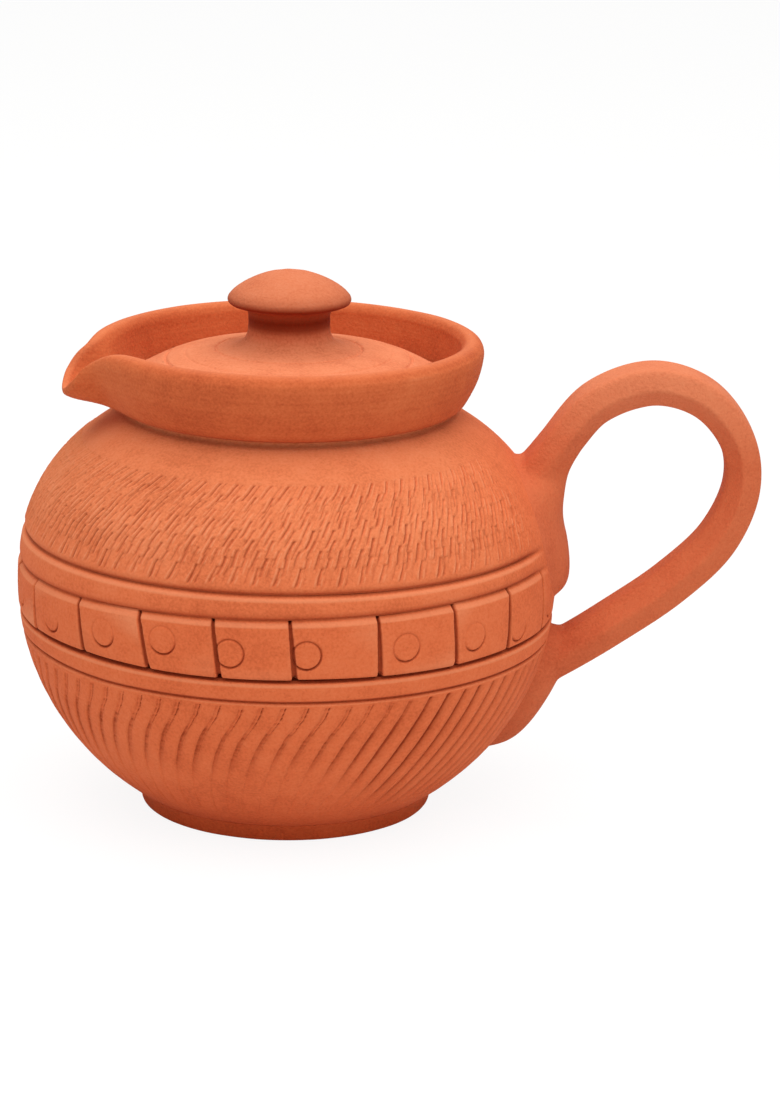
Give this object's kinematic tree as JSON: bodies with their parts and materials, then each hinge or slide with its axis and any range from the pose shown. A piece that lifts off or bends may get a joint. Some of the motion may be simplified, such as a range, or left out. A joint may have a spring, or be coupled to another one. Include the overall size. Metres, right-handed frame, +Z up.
{
  "type": "milk pot",
  "caption": "Round unglazed clay milk pot with a pulled pouring lip, a strap handle and a loose domed lid with a mushroom knob.",
  "frame": {"origin": "centre of the flat base", "axes": "+Z up along the pot's axis, +X towards the handle, -X towards the pouring lip"},
  "size_m": [0.22, 0.16, 0.1609],
  "materials": {
    "body_clay": "unglazed fired terracotta, carved and scraped",
    "collar_clay": "unglazed fired terracotta, thrown and wiped",
    "handle_clay": "unglazed fired terracotta, pulled and wiped",
    "lid_clay": "unglazed fired terracotta, thrown and wiped"
  },
  "bodies": {
    "pot": {"foot_disc": "body_clay", "pot_bowl": "body_clay", "tile_band": "body_clay", "pot_shoulder": "body_clay", "pouring_rim": "collar_clay", "handle_strap": "handle_clay", "handle_upper_pad": "handle_clay", "handle_lower_pad": "handle_clay"},
    "lid": {"lid_dome": "lid_clay", "lid_knob": "lid_clay"}
  },
  "joints": [
    {"name": "lid_lift", "type": "slide", "parent": "pot", "child": "lid", "axis": [0, 0, 1], "range_m": [0, 0.06]}
  ]
}
